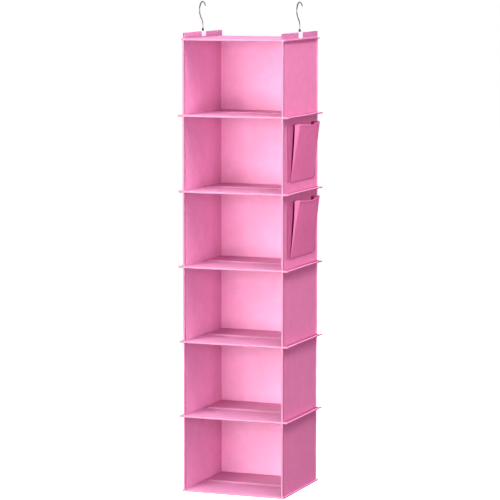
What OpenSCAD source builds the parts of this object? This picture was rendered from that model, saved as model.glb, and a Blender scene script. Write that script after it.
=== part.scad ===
// Hanging shoe organizer: six open cells of pink cloth, folded flat one by one.
// The origin is the middle of the closet rod, on the centre line of both hook eyes.
// +X is to the right, +Y to the back and +Z up. Sizes are in millimetres.

/* [Body] */
// Width over the outer faces of the side panels
body_w = 300; // [260:1:340]
// Depth from the front edges to the back panels
body_d = 288; // [260:1:320]
// Clear height inside one cell
cell_h = 209; // [170:1:240]
// Thickness of one side or back panel
panel_t = 1.6; // [1:0.1:3]

/* [Shelves] */
// Thickness of a shelf over its cloth
shelf_t = 6; // [5.6:0.1:8]
// Thickness of the cloth above and below the board
sleeve_t = 1.2; // [0.8:0.1:1.4]
// Thickness of the stiff board
board_t = 3.2; // [2.4:0.1:3.2]
// Gap between the board and the edges of its sleeve
board_gap = 0.5; // [0.2:0.1:1]
// How far a shelf stands out past each side panel
fin_out = 17; // [8:1:20]
// How far the top and the base stand out past each side panel
end_fin_out = 7; // [4:1:10]
// Width of the slit that the board goes in by
slit_w = 2; // [1:0.5:4]
// Length of that slit
slit_l = 280; // [200:5:288]

/* [Edge tapes] */
// Depth of the tape around a shelf's front edge
edge_tape_d = 7; // [5:0.5:10]
// Thickness of that tape above and below the shelf
edge_tape_t = 0.8; // [0.6:0.1:1]
// Thickness of that tape in front of the shelf
edge_tape_front = 1.5; // [1:0.1:1.5]
// Depth of the tapes along the upright edges
post_tape_d = 11; // [8:0.5:14]
// Thickness of the tape around a front upright edge
post_tape_t = 2; // [1.6:0.1:2.4]
// Thickness of the tape around a back corner
corner_tape_t = 1.2; // [0.8:0.1:1.6]

/* [Header flaps] */
// Height of a flap above the top
flap_h = 17; // [14:0.5:20]
// Thickness of a flap over its cloth
flap_t = 5; // [4.6:0.1:6]
// Thickness of a flap's cloth
flap_cloth_t = 1; // [0.6:0.1:1.2]
// Thickness of the bar inside a flap
flap_bar_t = 2.6; // [2:0.1:2.6]
// Height of the bar inside a flap
flap_bar_h = 14; // [10:0.5:14]

/* [Hooks] */
// Height of the hook eyes above the top
eye_height = 77; // [72:1:90]
// Radius of the wire's centre line around the eye
eye_r = 24; // [21:0.5:26]
// Diameter of the hook wire
wire_d = 3.8; // [3.4:0.1:4]
// Angle at which the wire's tip ends, from straight back
tip_angle = 33; // [20:1:45]
// How far the wire leans where it leaves the eye
lean_angle = 46; // [40:1:55]
// Radius of the wire's bend above the shank
bend_r = 14; // [10:1:16]
// Radial clearance of the wire in its saddle
swivel_gap = 0.08; // [0.04:0.01:0.1]
// Width of a saddle along the flap
saddle_w = 29; // [24:1:34]
// Thickness of a saddle's sheet metal
saddle_t = 1.2; // [1:0.1:1.4]
// Radius of a saddle's bends
saddle_bend = 1.1; // [0.5:0.1:1.2]
// Radius of the corners at the feet of a saddle's legs
leg_corner = 4; // [2:0.5:6]
// Outer radius of the ferrule around the wire
ferrule_r = 3.4; // [3:0.1:3.6]
// Height of that ferrule
ferrule_h = 6.5; // [5:0.5:8]

/* [Side pockets] */
// Width of a pocket's front sheet
pocket_w = 189; // [150:1:200]
// Height of a pocket's front sheet
pocket_h = 162; // [120:1:165]
// Thickness of a pocket's front sheet
pocket_t = 1.2; // [0.8:0.1:1.6]
// Height of a pocket's foot above the shelf
pocket_foot = 29; // [20:1:35]
// How far a pocket's middle is behind the panel's middle
pocket_shift = 11; // [0:1:12]
// How far a pocket's mouth stands open
pocket_mouth = 16; // [8:0.5:17]
// How far a gusset is sewn to the panel past the pocket's edge
gusset_seam = 17; // [14:0.5:18]
// How far a gusset's fold lies inside the pocket's edge
gusset_fold = 19; // [12:0.5:24]
// Thickness of a gusset's cloth
gusset_t = 1; // [0.8:0.1:1]

/* [Hidden] */
$fn = 48;

cells = 6;
half_w = body_w / 2;
half_d = body_d / 2;
// Cloth between the two legs of an edge tape, and in the fins
tongue_t = shelf_t - 2 * edge_tape_t;
// Front of the full thickness of a shelf, behind its tape
slab_front = edge_tape_d - half_d;
// Solid cloth around the board's pocket in the sleeve
sleeve_edge = 3;
// Middle of a flap's thickness, from the middle of the body
flap_x = half_w - flap_t / 2;
// Top face of the top, and of the flaps on it
top_z = -eye_height;
flap_top = top_z + flap_h;
// Notch in a flap's top edge, where the wire's riveted end turns
notch_w = 8;
notch_h = 3.5;
// Riveted end of the wire, under the saddle
rivet_r = 2.4;
rivet_h = 1.5;
rivet_gap = 0.1;
// The wire's straight stretch laps into the bends, a hair slimmer than they are
stretch_lap = 0.3;
stretch_step = 0.02;
// Chamfer at a ferrule's ends, and radius of the grooves crimped around it
ferrule_chamfer = 0.6;
crimp_r = 0.7;
// Lowest points of a saddle's inner and outer legs, from the top's face
inner_leg_foot = 2;
outer_leg_foot = -0.4;
// Lean of a pocket's front sheet, and the gap behind its foot
foot_gap = 2 * gusset_t + 0.2;
pocket_lean = asin((pocket_mouth - foot_gap) / pocket_h);
// Hem that joins a pocket's foot to the panel
hem_h = 4;
// Clearance between a gusset and the sheet in front of it
gusset_gap = 0.1;

pink = [0.95, 0.56, 0.76];
deep_pink = [0.86, 0.46, 0.67];
pale_pink = [1.0, 0.76, 0.9];
card = [0.72, 0.6, 0.45];
chrome = [0.8, 0.81, 0.83];
steel = [0.87, 0.88, 0.9];

// Top face of a shelf, with 0 for the top and 6 for the base
function shelf_z(level) = top_z - level * (cell_h + shelf_t);
function fin_at(level) = (level == 0 || level == cells) ? end_fin_out : fin_out;

// Stiff board inside a shelf
module board(level) {
  color(card)
    translate([0, (slab_front + half_d) / 2, shelf_z(level) - shelf_t / 2])
      cube([
        body_w - 2 * (sleeve_edge + board_gap),
        half_d - slab_front - 2 * (sleeve_edge + board_gap),
        board_t
      ], center = true);
}

// Cloth sleeve of a shelf, with its fins and the slit that its board goes in by
module sleeve(level) {
  fin = fin_at(level);
  cavity_h = shelf_t - 2 * sleeve_t;
  middle_y = (slab_front + half_d) / 2;
  slit_side = level == 0 ? -1 : 1;
  color(pink)
    difference() {
      union() {
        translate([-half_w, slab_front, shelf_z(level) - shelf_t])
          cube([body_w, half_d - slab_front, shelf_t]);
        translate([-half_w - fin, -half_d, shelf_z(level) - shelf_t + edge_tape_t])
          cube([body_w + 2 * fin, body_d, tongue_t]);
      }
      translate([0, middle_y, shelf_z(level) - shelf_t / 2])
        cube([
          body_w - 2 * sleeve_edge,
          half_d - slab_front - 2 * sleeve_edge,
          cavity_h
        ], center = true);
      translate([0, 0, shelf_z(level) - shelf_t / 2 + slit_side * shelf_t / 2])
        cube([slit_l, slit_w, shelf_t], center = true);
    }
}

// Tape folded around a shelf's front edge, from fin to fin
module edge_tape(level) {
  length = body_w + 2 * fin_at(level);
  color(pale_pink)
    translate([-length / 2, -half_d, shelf_z(level) - shelf_t])
      difference() {
        translate([0, -edge_tape_front, 0])
          cube([length, edge_tape_d + edge_tape_front, shelf_t]);
        translate([-1, 0, edge_tape_t])
          cube([length + 2, edge_tape_d + 1, tongue_t]);
      }
}

// Side panel of a cell, with side -1 on the left and 1 on the right
module side_panel(cell, side) {
  front = post_tape_t - half_d - edge_tape_front;
  color(deep_pink)
    translate([side * (half_w - panel_t / 2) - panel_t / 2, front, shelf_z(cell)])
      cube([panel_t, half_d - front, cell_h]);
}

module back_panel(cell) {
  color(pink)
    translate([panel_t - half_w, half_d - panel_t, shelf_z(cell)])
      cube([body_w - 2 * panel_t, panel_t, cell_h]);
}

// Outline of the tape folded around the front edge of the right panel
module post_tape_outline() {
  front = -half_d - edge_tape_front;
  difference() {
    translate([half_w - panel_t - post_tape_t, front])
      square([panel_t + 2 * post_tape_t, post_tape_d]);
    translate([half_w - panel_t, front + post_tape_t])
      square([panel_t, post_tape_d]);
  }
}

// Outline of the tape folded around the right back corner
module corner_tape_outline() {
  difference() {
    translate([half_w - post_tape_d, half_d - post_tape_d])
      square(post_tape_d + corner_tape_t);
    translate([half_w - post_tape_d - 1, half_d - post_tape_d - 1])
      square(post_tape_d + 1);
  }
}

// The four tapes along a cell's upright edges
module corner_tapes(cell) {
  color(pale_pink)
    for (side = [0, 1])
      mirror([side, 0, 0])
        translate([0, 0, shelf_z(cell)])
          linear_extrude(cell_h) {
            post_tape_outline();
            corner_tape_outline();
          }
}

// Notch under the saddle, across a flap
module flap_notch() {
  translate([flap_x, 0, flap_top])
    cube([flap_t + 2, notch_w, 2 * notch_h], center = true);
}

// Cloth flap on the right edge of the top, open at both ends
module header() {
  bore_h = flap_bar_h + 1;
  color(pink)
    difference() {
      translate([flap_x - flap_t / 2, -half_d, top_z])
        cube([flap_t, body_d, flap_h]);
      translate([flap_x - flap_t / 2 + flap_cloth_t, -half_d - 1, top_z + flap_cloth_t])
        cube([flap_t - 2 * flap_cloth_t, body_d + 2, bore_h]);
      flap_notch();
    }
}

// Flat bar that stiffens the right flap
module header_bar() {
  inset = 2;
  color(card)
    difference() {
      translate([flap_x - flap_bar_t / 2, inset - half_d, top_z + flap_cloth_t + 0.5])
        cube([flap_bar_t, body_d - 2 * inset, flap_bar_h]);
      flap_notch();
    }
}

// Sheet metal saddle over the right flap, which the hook turns in
module saddle() {
  outer_w = flap_t + 2 * saddle_t;
  color(steel)
    translate([flap_x, 0, flap_top])
      difference() {
        intersection() {
          translate([0, saddle_w / 2, 0])
            rotate([90, 0, 0])
              linear_extrude(saddle_w)
                saddle_outline(outer_w);
          union() {
            rotate([90, 0, 90])
              linear_extrude(outer_w)
                leg_blank(flap_h - outer_leg_foot);
            translate([-outer_w, 0, 0])
              rotate([90, 0, 90])
                linear_extrude(outer_w)
                  leg_blank(flap_h - inner_leg_foot);
          }
        }
        translate([0, 0, -1])
          cylinder(r = wire_d / 2 + swivel_gap, h = saddle_t + 2);
      }
}

// One leg of a saddle, cut from sheet metal with round corners at its foot
module leg_blank(leg_h) {
  translate([-saddle_w / 2, leg_corner - leg_h])
    square([saddle_w, leg_h - leg_corner + saddle_t]);
  translate([leg_corner - saddle_w / 2, -leg_h])
    square([saddle_w - 2 * leg_corner, leg_h]);
  for (side = [-1, 1])
    translate([side * (saddle_w / 2 - leg_corner), leg_corner - leg_h])
      circle(leg_corner);
}

// Outline of a saddle over the right flap, with round bends and a longer outer leg
module saddle_outline(outer_w) {
  inner_h = flap_h - inner_leg_foot;
  outer_h = flap_h - outer_leg_foot;
  difference() {
    union() {
      translate([saddle_bend - outer_w / 2, 0])
        square([outer_w - 2 * saddle_bend, saddle_t]);
      translate([-outer_w / 2, -inner_h])
        square([outer_w / 2, inner_h + saddle_t - saddle_bend]);
      translate([0, -outer_h])
        square([outer_w / 2, outer_h + saddle_t - saddle_bend]);
      for (side = [-1, 1])
        translate([side * (outer_w / 2 - saddle_bend), saddle_t - saddle_bend])
          circle(saddle_bend);
    }
    translate([-flap_t / 2, -outer_h - 1])
      square([flap_t, outer_h + 1]);
  }
}

// Round wire along an arc about the origin of the hook's plane
module wire_arc(radius, from, to) {
  rotate([0, 0, from])
    rotate_extrude(angle = to - from, $fn = 96)
      translate([radius, 0])
        circle(d = wire_d);
}

// Rounded end of the wire
module wire_tip() {
  rotate_extrude()
    intersection() {
      circle(d = wire_d);
      square(wire_d);
    }
}

// Right hook: an eye, a leaning stretch, a bend and a shank riveted under its saddle
module hook() {
  eye_end = 180 + lean_angle;
  eye_foot = eye_r * [cos(eye_end), sin(eye_end)];
  bend_start_y = bend_r * (cos(lean_angle) - 1);
  lean_l = (bend_start_y - eye_foot[0]) / cos(eye_end + 90);
  bend_start_z = eye_foot[1] + lean_l * sin(eye_end + 90);
  bend_z = bend_start_z - bend_r * sin(lean_angle);
  rivet_z = flap_top - rivet_gap;
  color(chrome) {
    translate([flap_x, 0, 0])
      rotate([90, 0, 90]) {
        wire_arc(eye_r, tip_angle, eye_end);
        rotate([0, 0, tip_angle])
          translate([eye_r, 0])
            rotate([90, 0, 0])
              wire_tip();
        translate(eye_foot)
          rotate([0, 0, eye_end + 90])
            translate([-stretch_lap, 0, 0])
              rotate([0, 90, 0])
                cylinder(d = wire_d - 2 * stretch_step, h = lean_l + 2 * stretch_lap);
        translate([-bend_r, bend_z])
          wire_arc(bend_r, 0, lean_angle);
      }
    translate([flap_x, 0, rivet_z - rivet_h])
      cylinder(d = wire_d, h = bend_z - rivet_z + rivet_h);
    translate([flap_x, 0, rivet_z - rivet_h])
      cylinder(r = rivet_r, h = rivet_h);
  }
}

// Ferrule pressed on the right hook's shank, which rests on the saddle
module ferrule() {
  color(steel)
    translate([flap_x, 0, flap_top + saddle_t])
      rotate_extrude()
        difference() {
          polygon([
            [wire_d / 2, 0],
            [ferrule_r - ferrule_chamfer, 0],
            [ferrule_r, ferrule_chamfer],
            [ferrule_r, ferrule_h - ferrule_chamfer],
            [ferrule_r - ferrule_chamfer, ferrule_h],
            [wire_d / 2, ferrule_h]
          ]);
          for (share = [1, 2])
            translate([ferrule_r + crimp_r / 2, share * ferrule_h / 3])
              circle(crimp_r);
        }
}

// Front edge of a pocket's sheet, and its middle
function pocket_front_y() = pocket_shift - pocket_w / 2;

// Leaning front sheet of a pocket on the right panel, with the hem it is sewn on by
module pocket_front(cell) {
  hem_w = pocket_w - 2 * gusset_fold - 6;
  translate([half_w, 0, shelf_z(cell) + pocket_foot])
    color(deep_pink) {
      translate([foot_gap, pocket_front_y(), 0])
        rotate([0, pocket_lean, 0])
          cube([pocket_t, pocket_w, pocket_h]);
      translate([0, pocket_shift - hem_w / 2, 0])
        cube([foot_gap + pocket_t, hem_w, hem_h]);
    }
}

// Thin flat triangle of cloth
module cloth_triangle(a, b, c) {
  hull()
    for (corner = [a, b, c])
      translate(corner)
        cube(gusset_t);
}

// Thin sheet between two leaning edges, each given by its foot and its head
module cloth_leg(foot_a, head_a, foot_b, head_b) {
  cloth_triangle(foot_a, head_a, head_b);
  cloth_triangle(foot_a, foot_b, head_b);
}

// Folded gusset at the front end of a pocket, sewn to the panel and to the sheet
module gusset() {
  head_z = pocket_h * cos(pocket_lean) - gusset_t;
  seam_y = -gusset_seam;
  open_x = pocket_mouth - gusset_t - gusset_gap;
  fold_x = open_x / 2;
  shut_x = foot_gap - gusset_t - gusset_gap;
  cloth_leg([0, seam_y, 0], [0, seam_y, head_z],
            [0, gusset_fold, 0], [fold_x, gusset_fold, head_z]);
  cloth_leg([0, gusset_fold, 0], [fold_x, gusset_fold, head_z],
            [shut_x, 0, 0], [open_x, 0, head_z]);
}

// The two gussets of a pocket
module pocket_gussets(cell) {
  color(deep_pink)
    translate([half_w, pocket_shift, shelf_z(cell) + pocket_foot])
      for (end = [0, 1])
        mirror([0, end, 0])
          translate([0, -pocket_w / 2, 0])
            gusset();
}

// The same on the left, for what the hooks hang from
module left() {
  mirror([1, 0, 0])
    children();
}

board(0);  // top_board
sleeve(0);  // top_cloth
edge_tape(0);  // top_edge_tape
left() header();  // left_header
left() header_bar();  // left_header_bar
left() saddle();  // left_hook_saddle
left() hook();  // left_hook
left() ferrule();  // left_hook_ferrule
header();  // right_header
header_bar();  // right_header_bar
saddle();  // right_hook_saddle
hook();  // right_hook
ferrule();  // right_hook_ferrule
for (level = [1:cells - 1]) {
  board(level);
  sleeve(level);
  edge_tape(level);
}
board(cells);  // base_board
sleeve(cells);  // base_cloth
edge_tape(cells);  // base_edge_tape
for (cell = [1:cells]) {
  side_panel(cell, -1);
  side_panel(cell, 1);
  back_panel(cell);
  corner_tapes(cell);
}
for (cell = [2, 3]) {
  pocket_front(cell);
  pocket_gussets(cell);
}
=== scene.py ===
"""Looks of a hanging shoe organizer: pink non-woven cloth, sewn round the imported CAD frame.

Everything is in metres, in the frame's own axes: +X right, +Y back, +Z up, with the closet rod's axis
at the origin. Places come from the CAD nodes' boxes, so the cloth follows the CAD wherever it goes.
"""

import math

import bmesh
import bpy
import numpy as np
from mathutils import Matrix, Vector


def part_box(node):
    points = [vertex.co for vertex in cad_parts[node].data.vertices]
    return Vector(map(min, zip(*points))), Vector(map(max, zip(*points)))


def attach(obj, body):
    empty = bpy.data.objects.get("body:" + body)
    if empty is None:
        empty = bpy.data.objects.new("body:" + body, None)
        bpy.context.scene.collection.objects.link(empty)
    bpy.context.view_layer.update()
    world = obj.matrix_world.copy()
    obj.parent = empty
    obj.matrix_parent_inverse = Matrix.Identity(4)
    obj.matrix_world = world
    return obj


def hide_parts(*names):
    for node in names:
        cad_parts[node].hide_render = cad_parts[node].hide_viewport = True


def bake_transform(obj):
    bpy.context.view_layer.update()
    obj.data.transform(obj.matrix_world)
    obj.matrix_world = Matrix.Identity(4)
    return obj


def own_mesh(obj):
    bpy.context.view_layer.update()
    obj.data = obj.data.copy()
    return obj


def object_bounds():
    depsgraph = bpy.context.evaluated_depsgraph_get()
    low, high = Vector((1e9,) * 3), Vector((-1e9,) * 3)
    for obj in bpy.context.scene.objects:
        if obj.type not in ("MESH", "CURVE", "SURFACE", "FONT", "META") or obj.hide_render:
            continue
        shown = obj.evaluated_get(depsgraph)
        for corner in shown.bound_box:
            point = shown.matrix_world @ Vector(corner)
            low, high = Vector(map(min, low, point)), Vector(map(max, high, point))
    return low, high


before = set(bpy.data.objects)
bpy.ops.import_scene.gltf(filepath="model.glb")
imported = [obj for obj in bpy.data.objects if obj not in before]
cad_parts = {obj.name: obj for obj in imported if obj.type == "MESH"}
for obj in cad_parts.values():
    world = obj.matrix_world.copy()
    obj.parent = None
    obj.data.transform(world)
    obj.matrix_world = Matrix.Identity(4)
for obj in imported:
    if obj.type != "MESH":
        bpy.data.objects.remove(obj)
cad_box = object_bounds()

MM = 0.001

# ---------------------------------------------------------------- sizes, from the frame

CELLS = 6
POCKET_CELLS = (2, 3)


def deck_body(level):
    """The CAD body of a deck, from 0 for the top to 6 for the base."""
    return {0: "top", CELLS: "base"}.get(level, f"shelf_{level}")


def deck_node(level, part):
    """The CAD node of that part of a deck."""
    return f"shelf_{part}_{level}" if 0 < level < CELLS else f"{deck_body(level)}_{part}"


HALF_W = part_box("right_panel_1")[1].x
BACK_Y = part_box("right_panel_1")[1].y
FRONT_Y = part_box("shelf_cloth_1")[0].y
TAPE_FRONT_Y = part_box("shelf_edge_tape_1")[0].y
DECK_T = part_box("shelf_edge_tape_1")[1].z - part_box("shelf_edge_tape_1")[0].z
PANEL_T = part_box("right_panel_1")[1].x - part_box("right_panel_1")[0].x
POST_OUT_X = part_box("corner_tapes_1")[1].x
POST_T = POST_OUT_X - HALF_W
CORNER_OUT_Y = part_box("corner_tapes_1")[1].y
CORNER_T = CORNER_OUT_Y - BACK_Y
EDGE_TAPE_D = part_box("shelf_edge_tape_1")[1].y - FRONT_Y
FLAP_IN_X, FLAP_OUT_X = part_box("right_header")[0].x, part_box("right_header")[1].x
FLAP_FOOT_Z, FLAP_TOP_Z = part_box("right_header")[0].z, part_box("right_header")[1].z

SKIN_T = 1.2 * MM  # of each of a deck's two cloths
POST_DEPTH = 11 * MM  # how far a tape reaches back from a front upright edge
CORNER_LEG = 11 * MM  # how far a tape reaches from a rear upright edge, both ways
SEWN_IN = 1.5 * MM  # how far a wall's cloth is caught in a deck's seam

STEP = 3.6 * MM  # between the points along a cloth
STITCH_PITCH, STITCH_L, STITCH_R = 3.6 * MM, 2.5 * MM, 0.3 * MM


def deck_z(level):
    """Height of the middle of a deck."""
    low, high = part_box(deck_node(level, "edge_tape"))
    return (low.z + high.z) / 2


def fin_x(level):
    """How far a deck reaches from the middle, fins included."""
    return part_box(deck_node(level, "cloth"))[1].x


# ---------------------------------------------------------------- camera, light and stage

CAMERA_AT = Vector((2.66909, -6.93266, 0.15963))
CAMERA_YAW, CAMERA_PITCH = 21.077, -6.486
CAMERA_LENS = 187.61


def make_camera():
    """A long lens in front, to the right and a little above the rod, looking slightly down."""
    data = bpy.data.cameras.new("camera")
    data.lens, data.sensor_width = CAMERA_LENS, 36
    data.clip_start, data.clip_end = 0.1, 900
    camera = bpy.data.objects.new("camera", data)
    camera.location = CAMERA_AT
    camera.rotation_euler = (math.radians(90 + CAMERA_PITCH), 0, math.radians(CAMERA_YAW))
    bpy.context.scene.collection.objects.link(camera)
    bpy.context.scene.camera = camera


def soft_box(name, turn, rise, power, colour=(1, 1, 1), distance=6.0, aim_z=-0.65, size=2.4):
    """A square lamp, turn degrees to the right of the front and rise degrees up, facing the object."""
    turn, rise = math.radians(turn), math.radians(rise)
    away = Vector((math.sin(turn) * math.cos(rise), -math.cos(turn) * math.cos(rise), math.sin(rise)))
    data = bpy.data.lights.new(name, "AREA")
    data.shape, data.size = "SQUARE", size
    data.energy, data.color = power, colour
    lamp = bpy.data.objects.new(name, data)
    lamp.location = away * distance + Vector((0, 0, aim_z))
    lamp.rotation_mode = "QUATERNION"
    lamp.rotation_quaternion = (-away).to_track_quat("-Z", "Y")
    lamp.visible_camera = False
    lamp.visible_glossy = False
    bpy.context.scene.collection.objects.link(lamp)


def make_world(band, beyond):
    """A studio that only shows in gloss: of strength band round the horizon, beyond above and below."""
    world = bpy.data.worlds.new("studio")
    bpy.context.scene.world = world
    world.use_nodes = True
    world.cycles_visibility.diffuse = False
    nodes, links = world.node_tree.nodes, world.node_tree.links
    background = nodes["Background"]
    background.inputs["Color"].default_value = (1, 1, 1, 1)
    where = nodes.new("ShaderNodeTexCoord")
    split = nodes.new("ShaderNodeSeparateXYZ")
    away = nodes.new("ShaderNodeMath")
    away.operation = "ABSOLUTE"
    shade = nodes.new("ShaderNodeMapRange")
    shade.interpolation_type = "SMOOTHSTEP"
    for key, value in (("From Min", 0.08), ("From Max", 0.34), ("To Min", band), ("To Max", beyond)):
        shade.inputs[key].default_value = value
    links.new(where.outputs["Generated"], split.inputs[0])
    links.new(split.outputs["Z"], away.inputs[0])
    links.new(away.outputs[0], shade.inputs["Value"])
    links.new(shade.outputs[0], background.inputs["Strength"])


def make_floor():
    """A wide pale floor, some way below the hanging object."""
    half, low = 400.0, cad_box[0].z - 0.45
    mesh = bpy.data.meshes.new("floor")
    mesh.from_pydata(
        [(-half, -half, low), (half, -half, low), (half, half, low), (-half, half, low)],
        [], [(0, 1, 2, 3)],
    )
    floor = bpy.data.objects.new("floor", mesh)
    bpy.context.scene.collection.objects.link(floor)
    floor.visible_diffuse = False
    floor.visible_glossy = False
    floor.visible_shadow = False
    pale = bpy.data.materials.new("pale_floor")
    pale.use_nodes = True
    shader = pale.node_tree.nodes["Principled BSDF"]
    shader.inputs["Base Color"].default_value = (0.8, 0.8, 0.8, 1)
    shader.inputs["Roughness"].default_value = 0.9
    shader.inputs["Emission Color"].default_value = (1, 1, 1, 1)
    shader.inputs["Emission Strength"].default_value = 1.0
    mesh.materials.append(pale)


make_camera()
make_floor()
make_world(band=1.0, beyond=0.03)
bpy.context.scene.view_settings.view_transform = "Standard"
soft_box("front_left_high", -25, 25, 300, (0.95, 1.0, 0.91))
soft_box("front_left", -25, 2, 162, (0.95, 1.0, 0.91))
soft_box("front", -5, 2, 380, (0.85, 1.0, 0.95))
soft_box("right", 45, 2, 260, (1.0, 0.7, 0.93))
soft_box("right_high", 42, 36, 90, (1.0, 0.7, 0.93))
soft_box("high_right", 68, 52, 74, (0.9, 0.95, 1.0), distance=3.5, aim_z=-0.4, size=1.4)
soft_box("near_front", 17, 54, 42, distance=2.85, aim_z=-0.1, size=1.0)
soft_box("near_right", 77, 58, 24, (0.9, 0.85, 0.9), distance=2.5, aim_z=-0.2, size=1.0)
soft_box("behind", 197, 12, 420)

# ---------------------------------------------------------------- materials

DIMPLE_PITCH, RIB_PITCH, TWIST_PITCH = 1.4 * MM, 0.9 * MM, 0.35 * MM
WAVE_SCALE = 1 / 20  # at which a wave texture's band is 2 pi long


class Nodes:
    """Short calls for building one material's node tree around its Principled shader."""

    def __init__(self, name):
        self.material = bpy.data.materials.new(name)
        self.material.use_nodes = True
        self.tree = self.material.node_tree
        self.shader = self.tree.nodes["Principled BSDF"]

    def add(self, kind, **settings):
        node = self.tree.nodes.new("ShaderNode" + kind)
        for key, value in settings.items():
            setattr(node, key, value)
        return node

    def plug(self, source, target):
        self.tree.links.new(source, target)

    def set(self, **values):
        for key, value in values.items():
            self.shader.inputs[key.replace("_", " ")].default_value = value

    def cloth(self):
        """Distances along and across the piece's own cloth, in metres."""
        return self.add("Attribute", attribute_name="cloth").outputs["Vector"]

    def place(self):
        return self.add("TexCoord").outputs["Object"]

    def scaled(self, vector, scale, turn=0.0):
        node = self.add("Mapping")
        node.inputs["Scale"].default_value = scale
        node.inputs["Rotation"].default_value = (0, 0, math.radians(turn))
        self.plug(vector, node.inputs["Vector"])
        return node.outputs["Vector"]

    def noise(self, vector, detail, rough):
        node = self.add("TexNoise")
        node.inputs["Scale"].default_value = 1.0
        node.inputs["Detail"].default_value = detail
        node.inputs["Roughness"].default_value = rough
        self.plug(vector, node.inputs["Vector"])
        return node.outputs[0]

    def ramp(self, value, low, high, to_low, to_high):
        node = self.add("MapRange", interpolation_type="SMOOTHSTEP")
        for key, number in zip(("From Min", "From Max", "To Min", "To Max"), (low, high, to_low, to_high)):
            node.inputs[key].default_value = number
        self.plug(value, node.inputs["Value"])
        return node.outputs[0]

    def math(self, kind, a, b):
        node = self.add("Math", operation=kind)
        for socket, value in zip(node.inputs, (a, b)):
            if isinstance(value, (int, float)):
                socket.default_value = value
            else:
                self.plug(value, socket)
        return node.outputs[0]

    def weigh(self, *terms):
        """Sum of (value, weight) pairs, around a half."""
        total = 0.5
        for value, weight in terms:
            total = self.math("ADD", self.math("MULTIPLY", self.math("SUBTRACT", value, 0.5), weight), total)
        return total

    def colour(self, share, dark, light):
        node = self.add("Mix", data_type="RGBA")
        self.plug(share, node.inputs["Factor"])
        for socket in node.inputs:
            if socket.name == "A" and socket.type == "RGBA":
                socket.default_value = (*dark, 1)
            if socket.name == "B" and socket.type == "RGBA":
                socket.default_value = (*light, 1)
        out = next(o for o in node.outputs if o.type == "RGBA")
        self.plug(out, self.shader.inputs["Base Color"])

    def roughness(self, value, low, high):
        self.plug(self.ramp(value, 0.2, 0.8, low, high), self.shader.inputs["Roughness"])

    def bump(self, height, depth, strength):
        node = self.add("Bump")
        node.inputs["Distance"].default_value = depth
        node.inputs["Strength"].default_value = strength
        self.plug(height, node.inputs["Height"])
        self.plug(node.outputs[0], self.shader.inputs["Normal"])


def tint(colour, share):
    return tuple(min(1.0, c * share) for c in colour)


def non_woven(name, colour):
    """Spun-bonded cloth: matted fibres, pressed together in a lattice of small dimples."""
    n = Nodes(name)
    cloth = n.cloth()
    lattice = n.add("TexVoronoi", voronoi_dimensions="2D")
    lattice.inputs["Scale"].default_value = 1.0
    lattice.inputs["Randomness"].default_value = 0.06
    n.plug(n.scaled(cloth, (1 / DIMPLE_PITCH,) * 3, 45), lattice.inputs["Vector"])
    dimple = n.ramp(lattice.outputs["Distance"], 0.16, 0.36, 1.0, 0.0)
    fibre = n.noise(n.scaled(cloth, (700, 2100, 1), 14), 5, 0.65)
    streak = n.noise(n.scaled(cloth, (26, 420, 1)), 3, 0.55)
    mottle = n.noise(n.scaled(n.place(), (38,) * 3), 3, 0.55)
    share = n.weigh((mottle, 0.75), (streak, 0.55), (fibre, 0.5), (dimple, -0.3))
    n.colour(share, tint(colour, 0.86), tint(colour, 1.1))
    n.roughness(fibre, 0.74, 0.93)
    n.bump(n.weigh((fibre, 0.6), (streak, 0.25), (dimple, -0.9)), 0.16 * MM, 0.7)
    n.set(Specular_IOR_Level=0.08)
    return n.material


def binding(name, colour):
    """Folded binding tape with a fine rib across it."""
    n = Nodes(name)
    cloth = n.cloth()
    rib = n.add("TexWave", wave_type="BANDS", bands_direction="X")
    rib.inputs["Scale"].default_value = WAVE_SCALE
    rib.inputs["Distortion"].default_value = 0.35
    rib.inputs["Detail"].default_value = 1.0
    n.plug(n.scaled(cloth, (2 * math.pi / RIB_PITCH,) * 3), rib.inputs["Vector"])
    fibre = n.noise(n.scaled(cloth, (1900, 700, 1)), 4, 0.6)
    mottle = n.noise(n.scaled(n.place(), (55,) * 3), 3, 0.5)
    share = n.weigh((mottle, 0.6), (fibre, 0.5), (rib.outputs["Fac"], 0.3))
    n.colour(share, tint(colour, 0.9), tint(colour, 1.07))
    n.roughness(fibre, 0.66, 0.86)
    n.bump(n.weigh((rib.outputs["Fac"], 0.7), (fibre, 0.4)), 0.1 * MM, 0.6)
    n.set(Specular_IOR_Level=0.1)
    return n.material


def sewing_thread(name, colour):
    """Twisted polyester thread."""
    n = Nodes(name)
    cloth = n.cloth()
    twist = n.add("TexWave", wave_type="BANDS", bands_direction="DIAGONAL")
    twist.inputs["Scale"].default_value = WAVE_SCALE
    n.plug(n.scaled(cloth, (2 * math.pi / TWIST_PITCH,) * 3), twist.inputs["Vector"])
    fuzz = n.noise(n.scaled(cloth, (3000,) * 3), 3, 0.6)
    share = n.weigh((fuzz, 0.6), (twist.outputs["Fac"], 0.5))
    n.colour(share, tint(colour, 0.88), tint(colour, 1.06))
    n.roughness(fuzz, 0.45, 0.65)
    n.bump(twist.outputs["Fac"], 0.05 * MM, 0.6)
    n.set(Specular_IOR_Level=0.2)
    return n.material


def greyboard(name):
    """Stiff pressed board, speckled with recycled fibre."""
    n = Nodes(name)
    place = n.place()
    speck = n.noise(n.scaled(place, (900,) * 3), 4, 0.7)
    fibre = n.noise(n.scaled(place, (1500, 260, 1500), 8), 5, 0.65)
    mottle = n.noise(n.scaled(place, (30,) * 3), 3, 0.5)
    share = n.weigh((speck, 0.7), (fibre, 0.6), (mottle, 0.5))
    n.colour(share, (0.07, 0.052, 0.042), (0.16, 0.13, 0.105))
    n.roughness(fibre, 0.8, 0.95)
    n.bump(n.weigh((fibre, 0.7), (speck, 0.4)), 0.15 * MM, 0.7)
    return n.material


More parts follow.
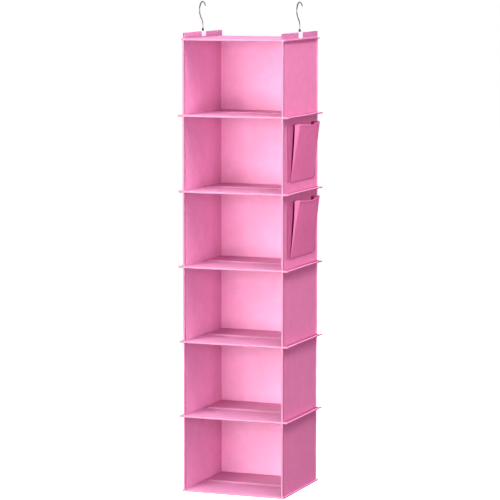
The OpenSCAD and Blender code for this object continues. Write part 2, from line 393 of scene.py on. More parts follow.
def chrome(name):
    """Bright chrome with faint drawing marks and fingerprints in its gloss."""
    n = Nodes(name)
    place = n.place()
    smear = n.noise(n.scaled(place, (120,) * 3), 4, 0.6)
    scratch = n.noise(n.scaled(place, (2600, 420, 900)), 3, 0.6)
    n.colour(smear, (0.5, 0.51, 0.53), (0.66, 0.67, 0.69))
    n.roughness(n.weigh((smear, 0.8), (scratch, 0.4)), 0.05, 0.16)
    n.bump(scratch, 0.006 * MM, 0.5)
    n.set(Metallic=1.0)
    return n.material


def brushed(name, dark, light, metallic):
    """Pressed sheet steel, brushed one way."""
    n = Nodes(name)
    place = n.place()
    grain = n.noise(n.scaled(place, (3800, 110, 3800)), 4, 0.65)
    smear = n.noise(n.scaled(place, (160,) * 3), 3, 0.5)
    n.colour(n.weigh((grain, 0.7), (smear, 0.5)), dark, light)
    n.roughness(n.weigh((grain, 0.6), (smear, 0.5)), 0.26, 0.44)
    n.bump(grain, 0.02 * MM, 0.6)
    n.set(Metallic=metallic)
    return n.material


# One pink cloth, copied lighter or darker for each part as painted light and shade: the back and left walls
# lighter where they stand lit, the right walls, flaps and pocket sheets darker where they stand in shade.
cloth_deck = non_woven("deck_cloth", (0.6, 0.26, 0.43))
cloth_panel = non_woven("panel_cloth", (0.71, 0.235, 0.4))
cloth_inner = non_woven("inner_cloth", (0.68, 0.315, 0.475))
cloth_back = non_woven("back_cloth", (0.8, 0.335, 0.525))
cloth_flap = non_woven("flap_cloth", (0.55, 0.215, 0.36))
# A near-black copy of the cloth, laid where the gussets run in under the pocket sheet: a painted shadow.
cloth_painted_shadow = non_woven("painted_shadow_cloth", (0.2, 0.014, 0.055))
# A darker copy of the cloth for the fins: painted shade where each fin stands out beside its wall.
cloth_fin_shade = non_woven("fin_shade_cloth", (0.42, 0.1, 0.22))
# A darker copy of the cloth for the pocket gussets: painted shade in their folds.
cloth_gusset_shade = non_woven("gusset_shade_cloth", (0.52, 0.12, 0.25))
# A darker copy of the cloth for the pocket sheets: painted shade.
cloth_pocket = non_woven("pocket_cloth", (0.66, 0.175, 0.335))
tape_pink = binding("binding_tape", (0.46, 0.185, 0.285))
# A lighter copy of the binding tape for the rear corners and the fin edges: painted light.
tape_lit = binding("corner_tape", (0.88, 0.37, 0.58))
thread_pink = sewing_thread("thread", (0.6, 0.24, 0.4))
board_grey = greyboard("greyboard")
hook_chrome = chrome("chrome")
# The saddle is near white and only half metal, so it lights like white paint: a painted reflection in place
# of its steel's bright gloss.
saddle_steel = brushed("saddle_steel", (0.86, 0.85, 0.88), (0.98, 0.97, 0.99), 0.5)
# The ferrule's near-black colour is a painted reflection, standing in for the dark surroundings its steel
# mirrors.
ferrule_steel = brushed("ferrule_steel", (0.05, 0.05, 0.055), (0.13, 0.13, 0.14), 1.0)

# ---------------------------------------------------------------- mesh building


def smooth(x):
    x = np.clip(x, 0, 1)
    return x * x * (3 - 2 * x)


def ripple(u, v, seed, wave):
    """Smooth seeded unevenness from -1 to 1 over two lengths, about wave long."""
    rng = np.random.default_rng(seed)
    total = 0.0
    for _ in range(6):
        angle, phase = rng.uniform(0, 2 * math.pi, 2)
        k = 2 * math.pi / (wave * rng.uniform(0.7, 1.6))
        total = total + np.sin(k * (u * math.cos(angle) + v * math.sin(angle)) + phase)
    return total / 4


def spaced(low, high, step, *marks):
    """Even places from low to high, at most step apart, that include the marks."""
    stops = [low, *sorted(m for m in marks if low < m < high), high]
    runs = [np.linspace(a, b, max(2, 1 + math.ceil((b - a) / step)))[:-1] for a, b in zip(stops, stops[1:])]
    return np.append(np.concatenate(runs), high)


def arc(centre, radius, start, end, count=6):
    """Points on an arc, from start to end degrees."""
    t = np.radians(np.linspace(start, end, count))
    return np.column_stack([centre[0] + radius * np.cos(t), centre[1] + radius * np.sin(t)])


def route(*runs):
    """One open path from points and arcs, with its lengths from the start."""
    path = np.concatenate([np.atleast_2d(np.array(r, float)) for r in runs])
    keep = np.append(True, np.linalg.norm(np.diff(path, axis=0), axis=1) > 1e-7)
    path = path[keep]
    along = np.append(0, np.cumsum(np.linalg.norm(np.diff(path, axis=0), axis=1)))
    return path, along


class Piece:
    """Collects sheets, folds and stitches, and makes one object of them.

    What is given no material has the piece's own.
    """

    def __init__(self, material):
        self.material = material
        self.points, self.cloth, self.faces, self.materials = [], [], [], []
        self.count = 0

    def add(self, points, faces, cloth, material):
        self.points.append(points)
        self.cloth.append(cloth)
        self.faces += [[i + self.count for i in face] for face in faces]
        self.materials += [material or self.material] * len(faces)
        self.count += len(points)

    def sheet(self, middle, thickness, cloth, material=None):
        """A sheet of that thickness around a grid of middle points, with a rounded rim."""
        rows, cols = middle.shape[:2]
        normal = np.cross(np.gradient(middle, axis=0), np.gradient(middle, axis=1))
        normal /= np.linalg.norm(normal, axis=2, keepdims=True) + 1e-15
        half = np.broadcast_to(np.asarray(thickness) / 2, (rows, cols)).reshape(-1, 1)
        index = np.arange(rows * cols).reshape(rows, cols)
        quads = np.stack([index[:-1, :-1], index[:-1, 1:], index[1:, 1:], index[1:, :-1]], -1).reshape(-1, 4)
        total = rows * cols
        loop = np.concatenate([index[0, :-1], index[:-1, -1], index[-1, :0:-1], index[:0:-1, 0]])
        inner = np.concatenate([index[1, :-1], index[:-1, -2], index[-2, :0:-1], index[:0:-1, 1]])
        flat = middle.reshape(-1, 3)
        outward = flat[loop] - flat[inner]
        outward /= np.linalg.norm(outward, axis=1, keepdims=True) + 1e-15
        rim = flat[loop] + outward * half[loop] * 0.8
        top, bottom = flat + normal.reshape(-1, 3) * half, flat - normal.reshape(-1, 3) * half
        after = np.roll(loop, -1)
        ring = 2 * total + np.arange(len(loop))
        ring_after = np.roll(ring, -1)
        faces = np.concatenate([
            quads, quads[:, ::-1] + total,
            np.stack([after, loop, ring, ring_after], -1),
            np.stack([ring_after, ring, loop + total, after + total], -1),
        ])
        uv = cloth.reshape(-1, 2)
        points = np.concatenate([top, bottom, rim])
        self.add(points, faces.tolist(), np.concatenate([uv, uv, uv[loop]]), material)

    def fold(self, path, along, stations, put, thickness, material=None):
        """A long strip folded to a path, run through stations by put(path point, station)."""
        middle = np.array([[put(p, s) for p in path] for s in stations])
        cloth = np.stack(np.meshgrid(stations, along, indexing="ij"), -1)
        self.sheet(middle, thickness, cloth, material)

    def stitches(self, start, end, up):
        """A row of thread stitches lying on the cloth from start to end."""
        start, end, up = (np.array(p, float) for p in (start, end, up))
        run = end - start
        size = np.linalg.norm(run)
        run /= size
        side = np.cross(run, up)
        side /= np.linalg.norm(side)
        up = np.cross(side, run)
        turns, rings = 5, ((-0.5, 0.35), (0, 1.0), (0.5, 0.35))
        angle = np.arange(turns) * 2 * math.pi / turns
        shape = np.concatenate([
            [run * STITCH_L * t + STITCH_R * r * (math.cos(a) * side + math.sin(a) * up) for a in angle]
            for t, r in rings
        ])
        uv = np.concatenate([[[STITCH_L * t, STITCH_R * a] for a in angle] for t, r in rings])
        faces = [
            [ring + i, ring + (i + 1) % turns, ring + turns + (i + 1) % turns, ring + turns + i]
            for ring in range(0, (len(rings) - 1) * turns, turns) for i in range(turns)
        ]
        faces += [list(range(turns))[::-1], [2 * turns + i for i in range(turns)]]
        count = max(1, int(size / STITCH_PITCH))
        for k in range(count):
            at = start + run * size * (k + 0.5) / count
            self.add(shape + at, faces, uv + [STITCH_PITCH * k, 0], thread_pink)

    def make(self, name):
        mesh = bpy.data.meshes.new(name)
        mesh.from_pydata(np.concatenate(self.points).tolist(), [], self.faces)
        slots = {material: slot for slot, material in enumerate(dict.fromkeys(self.materials))}
        for material in slots:
            mesh.materials.append(material)
        mesh.polygons.foreach_set("material_index", [slots[material] for material in self.materials])
        cloth = np.concatenate(self.cloth)
        cloth = np.column_stack([cloth, np.zeros(len(cloth))]).astype(np.float32)
        mesh.attributes.new("cloth", "FLOAT_VECTOR", "POINT").data.foreach_set("vector", cloth.ravel())
        clean = bmesh.new()
        clean.from_mesh(mesh)
        bmesh.ops.recalc_face_normals(clean, faces=clean.faces)
        clean.to_mesh(mesh)
        clean.free()
        mesh.polygons.foreach_set("use_smooth", [True] * len(mesh.polygons))
        mesh.set_sharp_from_angle(angle=math.radians(50))
        piece = bpy.data.objects.new(name, mesh)
        bpy.context.scene.collection.objects.link(piece)
        return piece


# ---------------------------------------------------------------- decks

PLY_HALF = 1.3 * MM  # half of the two cloths pressed together
FIN_HALF = 1.9 * MM  # half of a fin's thickness beside its panel
CORNER_R = 6 * MM
HEM_T = 0.5 * MM
SLIT_HALF = 1 * MM  # half of the slit's width
SLIT_X = 140 * MM  # half of its length
SLIT_TAPER = 3 * MM  # over which its ends close


def corner_cut(x, reach, radius=CORNER_R):
    """How far an edge of a deck draws in at its round corners."""
    past = np.clip(np.abs(x) - (reach - radius), 0, radius)
    return radius - np.sqrt(np.maximum(radius**2 - past**2, 0))


def deck_half(x, y, seed):
    """Half of a deck's thickness: full over the board, pressed thin in the fins and at the hems."""
    full = DECK_T / 2 - 0.05 * MM
    fin = smooth((np.abs(x) - HALF_W) / (3 * MM))
    half = full + (FIN_HALF - full) * fin
    half = half + (PLY_HALF - FIN_HALF) * smooth((np.abs(x) - HALF_W - 4 * MM) / (10 * MM))
    under_tape = smooth((FRONT_Y + EDGE_TAPE_D + 1.5 * MM - y) / (2 * MM))
    half = np.minimum(half, full + (FIN_HALF - full) * under_tape)
    at_back = smooth((y - (BACK_Y - 2.5 * MM)) / (2.5 * MM))
    half = half - (half - PLY_HALF) * at_back
    seam = np.exp(-(((np.abs(x) - HALF_W - 1.5 * MM) / (2.5 * MM)) ** 2))
    half = half - seam * (0.6 + 0.2 * np.sin(2 * math.pi * y / (10.5 * MM) + seed)) * MM
    inside = smooth((HALF_W - np.abs(x)) / (20 * MM))
    inside = inside * smooth((y - FRONT_Y) / (25 * MM)) * smooth((BACK_Y - y) / (15 * MM))
    return half - inside * 0.25 * MM * (1 + ripple(x, y, seed, 70 * MM))


def deck_skin(piece, level, side, y_low, y_high):
    """Upper (side 1) or lower (side -1) cloth of a deck, between two edges y_low(x) and y_high(x)."""
    reach = fin_x(level)
    marks = (SLIT_X, SLIT_X + SLIT_TAPER, HALF_W, HALF_W + 4 * MM)
    xs = spaced(-reach, reach, STEP, *marks, *(-x for x in marks))
    low, high = y_low(xs), y_high(xs)
    depth = spaced(0, 1, STEP / np.max(high - low), 0.01, 0.02, 0.98, 0.99)
    x = np.repeat(xs[:, None], len(depth), 1)
    y = low[:, None] + (high - low)[:, None] * depth[None, :]
    half = deck_half(x, y, 11 * level + (side > 0))
    z = deck_z(level) + side * (half - SKIN_T / 2)
    piece.sheet(np.stack([x, y, z], -1), SKIN_T, np.stack([x, y], -1))


def make_deck_cloth(level):
    """A sleeve of two cloths, sewn together in the fins and slit across for its board."""
    piece = Piece(cloth_deck)
    reach, slit_side = fin_x(level), (-1 if level == 0 else 1)
    z = deck_z(level)

    def front(x):
        return FRONT_Y + 0.4 * MM + corner_cut(x, reach)

    def back(x):
        return BACK_Y - 0.3 * MM - corner_cut(x, reach, 3 * MM)

    def gap(x, side):
        return side * SLIT_HALF * (1 - smooth((np.abs(x) - SLIT_X) / SLIT_TAPER)) + side * 0.02 * MM

    deck_skin(piece, level, -slit_side, front, back)
    deck_skin(piece, level, slit_side, front, lambda x: gap(x, -1))
    deck_skin(piece, level, slit_side, lambda x: gap(x, 1), back)
    add_slit_hems(piece, level, slit_side)
    for side in (-1, 1):
        add_fin_edge(piece, level, side)
        for inset in (2.2 * MM, reach - HALF_W - 6.5 * MM):
            if inset > 0:
                for up in (-1, 1):
                    x = side * (HALF_W + inset)
                    half = deck_half(np.array([abs(x)]), np.array([0.0]), 11 * level + (up > 0))[0]
                    piece.stitches((x, FRONT_Y + EDGE_TAPE_D + 2 * MM, z + up * half),
                                   (x, BACK_Y - 3 * MM, z + up * half), (0, 0, up))
    cloth = piece.make(f"{deck_node(level, 'cloth')}_sewn")
    # Faces out past the walls, the fins, take the darker fin copy of the cloth: painted shade over the whole
    # fin.
    cloth.data.materials.append(cloth_fin_shade)
    for face in cloth.data.polygons:
        if cloth.data.materials[face.material_index] == cloth_deck and abs(face.center.x) > HALF_W:
            face.material_index = len(cloth.data.materials) - 1
    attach(cloth, deck_body(level))
    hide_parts(deck_node(level, "cloth"))


def add_slit_hems(piece, level, side):
    """The bound rear edge of the slit, which stands proud, and the flat hem of its front edge."""
    surface = deck_z(level) + side * (DECK_T / 2 - 0.3 * MM)
    rise, depth, bend = 2.7 * MM, 9 * MM, 1.1 * MM
    past_slit = 6 * MM
    front_y = SLIT_HALF - 0.6 * MM
    path, along = route(
        (front_y + depth, 0.4 * MM), (front_y + depth * 0.55, rise * 0.8),
        arc((front_y + bend, rise - bend), bend, 80, 180), arc((front_y + bend, bend), bend, 180, 260),
        (front_y + 3 * MM, 0.1 * MM),
    )
    stations = spaced(-SLIT_X - past_slit, SLIT_X + past_slit, STEP)

    def bound(p, x):
        drop = 1 - 0.85 * smooth((abs(x) - SLIT_X) / past_slit)
        lift = 0.12 * MM * math.sin(x / (7 * MM))
        return (x, p[0], surface + side * (p[1] + lift) * drop)

    def flat(p, x):
        return (x, p[0], surface + side * (p[1] + 0.2 * MM))

    piece.fold(path, along, stations, bound, 0.8 * MM, tape_pink)
    hem, along = route((-SLIT_HALF - 7.5 * MM, 0.2 * MM), (-SLIT_HALF - 6.5 * MM, HEM_T),
                       (-SLIT_HALF - 1 * MM, HEM_T), (-SLIT_HALF - 0.2 * MM, 0.1 * MM))
    piece.fold(hem, along, stations, flat, 0.6 * MM)
    hem_row = (-SLIT_HALF - 5.5 * MM, HEM_T + 0.5 * MM)
    bound_row = (front_y + depth * 0.5, rise * 0.84 + 0.35 * MM)
    for y, height in (hem_row, bound_row):
        z = surface + side * height
        piece.stitches((-SLIT_X, y, z), (SLIT_X, y, z), (0, 0, side))


def add_fin_edge(piece, level, side):
    """Narrow tape folded round a fin's outer edge, from the front tape to the back."""
    reach, z = fin_x(level), deck_z(level)
    half, width, bend = PLY_HALF + 0.45 * MM, 4.5 * MM, 1.2 * MM
    outer = reach - 0.35 * MM
    path, along = route(
        (outer - width, half), arc((outer - bend, half - bend), bend, 90, 0),
        arc((outer - bend, bend - half), bend, 0, -90), (outer - width, -half),
    )
    stations = spaced(FRONT_Y + EDGE_TAPE_D - 1 * MM, BACK_Y - 0.5 * MM, STEP)

    def put(p, y):
        return (side * p[0], y, z + p[1] + 0.12 * MM * math.sin(y / (6 * MM)))

    # The fin's edge takes the lighter copy of the binding as a painted highlight.
    piece.fold(path, along, stations, put, 0.7 * MM, tape_lit)


def make_edge_tape(level):
    """Tape folded over the front edge of a deck, with round corners at the fins."""
    piece = Piece(tape_pink)
    reach, z = fin_x(level) - 0.4 * MM, deck_z(level)
    tape_t = 0.8 * MM
    half, bend = (DECK_T - tape_t) / 2, 1.9 * MM
    rear, front = FRONT_Y + EDGE_TAPE_D, TAPE_FRONT_Y + tape_t / 2
    path, along = route(
        (rear, half), (rear - 2 * MM, half), (rear - 4 * MM, half),
        arc((front + bend, half - bend), bend, 90, 180), arc((front + bend, bend - half), bend, 180, 270),
        (rear - 4 * MM, -half), (rear - 2 * MM, -half), (rear, -half),
    )
    stations = np.concatenate([
        -reach + CORNER_R * (1 - np.cos(np.linspace(0, math.pi / 2, 8)))[:-1] * 0.999,
        spaced(-reach + CORNER_R, reach - CORNER_R, STEP),
        reach - CORNER_R * (1 - np.cos(np.linspace(math.pi / 2, 0, 8)))[1:] * 0.999,
    ])

    def put(p, x):
        draw = corner_cut(np.array([x]), reach)[0]
        share = (rear - p[0]) / (rear - front)
        pinch = 1 - 0.12 * smooth((abs(x) - reach + 5 * MM) / (5 * MM))
        return (x, p[0] + draw * share, z + p[1] * pinch + 0.1 * MM * math.sin(x / (8 * MM)))

    piece.fold(path, along, stations, put, tape_t)
    for up in (-1, 1):
        x, y, height = reach - 3 * MM, rear - 2 * MM, z + up * (DECK_T / 2 + 0.05 * MM)
        piece.stitches((-x, y, height), (x, y, height), (0, 0, up))
    tape = piece.make(f"{deck_node(level, 'edge_tape')}_sewn")
    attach(tape, deck_body(level))
    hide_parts(deck_node(level, "edge_tape"))


# ---------------------------------------------------------------- walls


def pucker(u, distance, seed):
    """Small gathers along a seam, dying away from it."""
    return np.sin(2 * math.pi * u / (11 * MM) + seed) * np.exp(-distance / (9 * MM))


def wall(u, v, width, height, seed):
    """How a wall's cloth stands off its flat plane, u and v from one corner."""
    edge = np.minimum.reduce([u, width - u, v, height - v])
    slack = smooth(edge / (35 * MM))
    gathers = pucker(v, u, seed) + pucker(v, width - u, seed + 1)
    gathers = gathers + pucker(u, v, seed + 2) + pucker(u, height - v, seed + 3)
    return (0.55 * ripple(u, v, seed, 110 * MM) * slack + 0.2 * gathers * smooth(edge / (2 * MM))) * MM


def squash_cell(piece, cell):
    """The piece hangs from the deck above, with a mesh of its own."""
    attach(piece, deck_body(cell - 1))
    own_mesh(piece)


def cell_span(cell):
    """Lowest and highest point of a cell's cloth, which is caught in the seams of both decks."""
    return deck_z(cell) + DECK_T / 2 - SEWN_IN, deck_z(cell - 1) - DECK_T / 2 + SEWN_IN


def make_side_panel(cell, side):
    """A slightly slack cloth wall, on the left (side -1) or the right (side 1)."""
    # The left wall takes the lighter copy of the cloth and the right wall the darker one, as painted light
    # and shade.
    piece = Piece(cloth_panel if side > 0 else cloth_inner)
    low, high = cell_span(cell)
    front, back = TAPE_FRONT_Y + POST_T, BACK_Y
    ys, zs = spaced(front, back, STEP), spaced(low, high, STEP)
    y, z = np.meshgrid(ys, zs, indexing="ij")
    off = wall(y - front, z - low, back - front, high - low, 100 * cell + 10 * (side > 0))
    x = side * (HALF_W - PANEL_T / 2 - 0.25 * MM + off)
    piece.sheet(np.stack([x, y, z], -1), PANEL_T - 0.2 * MM, np.stack([y, z], -1))
    name = f"{'right' if side > 0 else 'left'}_panel_{cell}"
    panel = piece.make(f"{name}_cloth")
    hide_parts(name)
    squash_cell(panel, cell)


def make_back_panel(cell):
    """A slightly slack cloth wall between the two side panels."""
    # The back wall takes the lightest copy of the cloth, as painted light.
    piece = Piece(cloth_back)
    low, high = cell_span(cell)
    half = HALF_W - PANEL_T
    xs, zs = spaced(-half, half, STEP), spaced(low, high, STEP)
    x, z = np.meshgrid(xs, zs, indexing="ij")
    off = wall(x + half, z - low, 2 * half, high - low, 100 * cell + 5)
    y = BACK_Y - PANEL_T / 2 + off
    piece.sheet(np.stack([x, y, z], -1), PANEL_T - 0.2 * MM, np.stack([x, z], -1))
    panel = piece.make(f"back_panel_{cell}_cloth")
    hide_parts(f"back_panel_{cell}")
    squash_cell(panel, cell)


def post_path(side):
    """Outline of the tape folded round a front upright edge, from its outer leg to its inner one."""
    tape = POST_T - 0.1 * MM
    outer, inner = HALF_W + tape / 2 - 0.05 * MM, HALF_W - PANEL_T - tape / 2 + 0.05 * MM
    front, rear, bend = TAPE_FRONT_Y + tape / 2, TAPE_FRONT_Y + POST_DEPTH, 1.3 * MM
    path, along = route(
        (outer, rear), (outer, rear - 3 * MM), (outer, front + 3 * MM),
        arc((outer - bend, front + bend), bend, 0, -90), arc((inner + bend, front + bend), bend, -90, -180),
        (inner, front + 3 * MM), (inner, rear - 3 * MM), (inner, rear),
    )
    return path * [side, 1], along, tape


def corner_path(side):
    """Outline of the tape folded round a back corner."""
    tape = CORNER_T - 0.1 * MM
    x, y, bend = HALF_W + tape / 2 + 0.02 * MM, BACK_Y + tape / 2 + 0.02 * MM, 1.8 * MM
    path, along = route(
        (x, BACK_Y - CORNER_LEG), (x, BACK_Y - 7 * MM), (x, BACK_Y - 3 * MM),
        arc((x - bend, y - bend), bend, 0, 90),
        (HALF_W - 3 * MM, y), (HALF_W - 7 * MM, y), (HALF_W - CORNER_LEG, y),
    )
    return path * [side, 1], along, tape


def make_corner_tapes(cell):
    """The four tapes sewn over a cell's upright edges."""
    piece = Piece(tape_pink)
    low, high = cell_span(cell)
    stations = spaced(low, high, STEP)
    total = 0.0
    for side in (-1, 1):
        # The rear corner tapes take the lighter copy of the binding as painted light; the front ones take the
        # plain tape.
        for seed, (outline, material) in enumerate(((post_path, tape_pink), (corner_path, tape_lit))):
            path, along, tape = outline(side)

            def put(p, z):
                sway = 0.12 * MM * math.sin(z / (9 * MM) + seed + side)
                return (p[0] + side * 0.5 * sway, p[1] + sway, z)

            piece.fold(path, along, stations, put, tape, material)
            total += along[-1]
        outer, inner = POST_OUT_X + 0.02 * MM, HALF_W - PANEL_T - POST_T - 0.02 * MM
        post_y = TAPE_FRONT_Y + POST_DEPTH - 2.3 * MM
        for x, up in ((outer, 1), (inner, -1)):
            piece.stitches((side * x, post_y, low), (side * x, post_y, high), (side * up, 0, 0))
        x, y = side * (HALF_W + CORNER_T), BACK_Y - CORNER_LEG + 2.3 * MM
        piece.stitches((x, y, low), (x, y, high), (side, 0, 0))
        x, y = side * (HALF_W - CORNER_LEG + 2.3 * MM), BACK_Y + CORNER_T
        piece.stitches((x, y, low), (x, y, high), (0, 1, 0))
    tapes = piece.make(f"corner_tapes_{cell}_sewn")
    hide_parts(f"corner_tapes_{cell}")
    squash_cell(tapes, cell)


# ---------------------------------------------------------------- header flaps and what they carry

NOTCH_HALF = 4.5 * MM
NOTCH_DEEP = 4 * MM


def make_header(side):
    """A cloth folded over its bar, sewn to the top along its foot and notched under its saddle."""
    # The flap takes a darker copy of the cloth, as painted shade.
    piece = Piece(cloth_flap)
    cloth_t, bend = 1 * MM, 1.5 * MM
    inner, outer = FLAP_IN_X + cloth_t / 2, FLAP_OUT_X - cloth_t / 2
    top, foot = FLAP_TOP_Z - cloth_t / 2 - 0.02 * MM, FLAP_FOOT_Z + 0.1 * MM
    middle = (inner + outer) / 2
    rise = [foot + h * MM for h in (0, 0.8, 1.6, 2.6, 3.8, 6, 8, 10, 12)]
    waist = [2.0, 1.7, 1.0, 1.4, 1.95, 2.0, 2.0, 2.0, 2.0]
    legs = [(middle - w * MM, z) for w, z in zip(waist, rise)]
    path, along = route(
        legs, arc((inner + bend, top - bend), bend, 180, 90), arc((outer - bend, top - bend), bend, 90, 0),
        [(2 * middle - x, z) for x, z in legs[::-1]],
    )
    in_notch = smooth((path[:, 1] - (FLAP_TOP_Z - NOTCH_DEEP - 1 * MM)) / (1 * MM))
    for half in (-1, 1):
        shares = spaced(0, 1, STEP / (BACK_Y - FRONT_Y) * 2)
        near = half * (0.02 * MM + NOTCH_HALF * in_notch)
        far = half * (BACK_Y - 0.2 * MM)
        y = near[None, :] + (far - near[None, :]) * shares[:, None]
        x = np.repeat(path[None, :, 0], len(shares), 0)
        z = np.repeat(path[None, :, 1], len(shares), 0)
        free = smooth((z - foot) / (8 * MM))
        belly = 0.35 * MM * ripple(y, z, 7 + side, 60 * MM) * free
        sewn = 0.15 * MM * np.sin(2 * math.pi * y / (10 * MM)) * np.exp(-np.abs(z - rise[2]) / (3 * MM))
        x = x + (x - middle) / (2 * MM) * (sewn - 0.05 * MM) + belly * 0.5
        z = z - 0.25 * MM * (1 + np.sin(y / (31 * MM) + side)) * free * (z > foot + 12 * MM)
        cloth = np.stack([y, np.repeat(along[None, :], len(shares), 0)], -1)
        piece.sheet(np.stack([side * x, y, z], -1), cloth_t, cloth)
    for at, up in ((middle - 1.6 * MM, -1), (middle + 1.6 * MM, 1)):
        piece.stitches((side * at, FRONT_Y + 2 * MM, rise[2]), (side * at, BACK_Y - 2 * MM, rise[2]),
                       (side * up, 0, 0))
    body = "right_header" if side > 0 else "left_header"
    flap = piece.make(f"{body}_cloth")
    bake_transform(flap)
    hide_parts(body)


def dress(node, material):
    """Gives a CAD node that stays visible its material."""
    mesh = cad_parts[node].data
    mesh.materials.clear()
    mesh.materials.append(material)


# ---------------------------------------------------------------- side pockets


class Pocket:
    """Where a pocket's cloth runs, by its share of the height from foot (0) to mouth (1)."""

    def __init__(self, cell):
        self.low, self.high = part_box(f"pocket_front_{cell}")
        self.foot, self.head = self.low.z, self.high.z
        self.height = self.head - self.foot
        self.cell = cell
        self.foot_x = HALF_W + 2.6 * MM

    def out(self, share):
        """How far out the sheet leans."""
        return self.foot_x + (self.high.x + 0.7 * MM - self.foot_x) * share

    def end(self, share, way):
        """Free edge and crease of the sheet's front (way -1) or rear (way 1) end, as x and y."""
        if way < 0:
            crease = (self.out(share) + 0.6 * MM * share, self.low.y + (-3.5 + 33 * share**0.9) * MM)
            edge = (crease[0] - (0.3 + 9.7 * share**1.9) * MM, crease[1] - (0.2 + 12 * share**0.95) * MM)
        else:
            crease = (self.out(share) + 1.6 * MM * share, self.high.y + (-1.5 + 5 * share) * MM)
            edge = (crease[0] - 7.8 * MM * share - 0.2 * MM, self.high.y + (-0.5 + 12 * share) * MM)
        return np.array(edge), np.array(crease)

    def on_sheet(self, share, across):
        """A point of the sheet's flat part, at a share of the way from crease to crease."""
        front, rear = self.end(share, -1)[1], self.end(share, 1)[1]
        x, y = front + (rear - front) * across
        bulge = math.sin(math.pi * across)
        x += 0.9 * MM * bulge * share * (1.6 - share)
        x += 0.35 * MM * float(ripple(y, share * self.height, 40 + self.cell, 80 * MM)) * min(1, 5 * bulge)
        sag = 6.4 * MM * math.sin(math.pi * across**1.35) * share**5
        return np.array([x, y, self.foot + self.height * share - sag])


def make_pocket_front(cell):
    """The sheet of a pocket, whose ends turn in towards the panel along a crease."""
    # The sheet takes a darker copy of the cloth, as painted shade.
    piece, pocket = Piece(cloth_pocket), Pocket(cell)
    foot, height = pocket.foot, pocket.height
    sheet_t, hem_depth = 1.1 * MM, 8.4 * MM
    hem_rows = height - np.array([8.2, 7.6, 5, 2.5, 0.8]) * MM
    shares = np.append(spaced(0.3 * MM, height - 9 * MM, STEP), hem_rows) / height
    flat = spaced(0, 1, 0.021)
    rows = []
    for share in shares:
        middle = np.array([pocket.on_sheet(share, s) for s in flat])
        turned = []
        for way, corner in ((-1, middle[0]), (1, middle[-1])):
            edge, crease = pocket.end(share, way)
            turned.append([corner + np.append(edge - crease, 0) * t for t in (1, 0.66, 0.33)])
        rows.append(np.concatenate([turned[0], middle, turned[1][::-1]]))
    middle = np.array(rows)
    hem = smooth((shares * height - height + hem_depth) / (0.8 * MM)) * 0.45 * MM
    piece.sheet(middle, sheet_t + 2 * hem[:, None], middle[:, :, 1:].copy())
    outward = np.array([1, 0, 0])
    on_cloth, on_hem = outward * 0.6 * MM, outward * 1.05 * MM
    rises = spaced(0.03, 0.93, 0.3)
    for across in (0.025, 0.978):
        for low, high in zip(rises[:-1], rises[1:]):
            piece.stitches(pocket.on_sheet(low, across) + on_cloth,
                           pocket.on_sheet(high, across) + on_cloth, outward)
    across, under_mouth = spaced(0, 1, 0.12), 1 - 7 * MM / height
    for a, b in zip(across[:-1], across[1:]):
        piece.stitches(pocket.on_sheet(under_mouth, a) + on_hem,
                       pocket.on_sheet(under_mouth, b) + on_hem, outward)
    plane = HALF_W + 0.3 * MM
    fold, along = route((plane, foot + 2 * MM), (plane, foot - 2.4 * MM), (plane + 1.2 * MM, foot - 2.6 * MM),
                        (pocket.foot_x, foot + 0.2 * MM), (pocket.foot_x + 0.35 * MM, foot + 3 * MM))
    stations = spaced(pocket.low.y - 3 * MM, pocket.high.y - 1.5 * MM, STEP)

    def put(p, y):
        return (p[0], y, p[1] + 0.15 * MM * math.sin(y / (5 * MM)))

    piece.fold(fold, along, stations, put, 0.9 * MM)
    sheet = piece.make(f"pocket_front_{cell}_cloth")
    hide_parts(f"pocket_front_{cell}")
    squash_cell(sheet, cell)


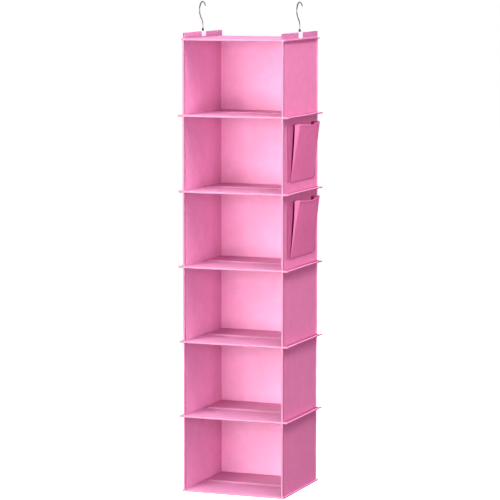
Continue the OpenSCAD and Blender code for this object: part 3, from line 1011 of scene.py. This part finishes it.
def make_gussets(cell):
    """The folded ends of a pocket: from the sheet's edge in to a fold, then out to a seam on the panel."""
    piece, pocket = Piece(cloth_gusset_shade), Pocket(cell)
    shares = spaced(0.5 * MM, pocket.height - 1.5 * MM, STEP) / pocket.height
    for way, seam_y, shadow_from in ((-1, pocket.low.y - 24 * MM, 0.0), (1, pocket.high.y + 17 * MM, 0.6)):
        def ends(share):
            """Where the strip's inner part starts at the sheet's edge and ends at its fold, along y."""
            edge_y = pocket.end(share, way)[0][1]
            return edge_y, edge_y - way * (9 + 20 * share) * MM

        def line(share, run):
            """Points of the strip: run is 0 at the sheet's edge, 1 at the fold and 2 at the seam."""
            edge = pocket.end(share, way)[0] - [0.9 * MM, 0]
            fold = np.array([HALF_W + 0.9 * MM, ends(share)[1]])
            seam = np.array([HALF_W + 0.8 * MM, seam_y])
            inner, outer = np.clip(run, 0, 1)[:, None], np.clip(run - 1, 0, 1)
            x, y = (edge + (fold - edge) * inner + (seam - fold) * outer[:, None]).T
            x = x + 0.9 * MM * share * np.sin(math.pi * inner[:, 0])
            x = x + 0.8 * MM * np.sin(6 * math.pi * outer) * outer * (0.4 + 0.6 * share)
            x = x + 0.7 * MM * share * np.sin(math.pi * outer) * outer
            return np.column_stack([x, y, np.full(len(x), pocket.foot + pocket.height * share)])

        def stops(share):
            """Runs at which the strip starts, goes in under the sheet, comes out again and ends."""
            edge_y, fold_y = ends(share)
            shown = fold_y - edge_y + way * (1 + 12 * share**2) * MM
            return 0.0, shadow_from, 1 + shown / (fold_y - seam_y), 2.0

        done = 0.0
        # The middle part of the strip, in under the sheet's edge, takes the near-black copy as a painted
        # shadow; the parts before and after it take the darker gusset copy as painted shade.
        for part, material in enumerate((cloth_gusset_shade, cloth_painted_shadow, cloth_gusset_shade)):
            if part == 0 and shadow_from == 0:
                continue
            runs = [np.linspace(*stops(share)[part:part + 2], 14) for share in shares]
            middle = np.array([line(share, run) for share, run in zip(shares, runs)])
            along = done + np.append(0, np.cumsum(np.linalg.norm(np.diff(middle[-1], axis=0), axis=1)))
            cloth = np.stack([np.repeat(along[None, :], len(shares), 0), middle[:, :, 2]], -1)
            piece.sheet(middle, 0.8 * MM, cloth, material)
            done = along[-1]
        x, y = HALF_W + 1.35 * MM, seam_y - way * 2 * MM
        piece.stitches((x, y, pocket.foot + 2 * MM), (x, y, pocket.head - 3 * MM), (1, 0, 0))
    gussets = piece.make(f"pocket_gussets_{cell}_cloth")
    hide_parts(f"pocket_gussets_{cell}")
    squash_cell(gussets, cell)


# ---------------------------------------------------------------- making everything

for level in range(CELLS + 1):
    make_deck_cloth(level)
    make_edge_tape(level)
    dress(deck_node(level, "board"), board_grey)

for cell in range(1, CELLS + 1):
    make_side_panel(cell, -1)
    make_side_panel(cell, 1)
    make_back_panel(cell)
    make_corner_tapes(cell)

for side, name in ((-1, "left"), (1, "right")):
    make_header(side)
    dress(f"{name}_header_bar", board_grey)
    dress(f"{name}_hook_saddle", saddle_steel)
    dress(f"{name}_hook", hook_chrome)
    dress(f"{name}_hook_ferrule", ferrule_steel)

for cell in POCKET_CELLS:
    make_pocket_front(cell)
    make_gussets(cell)
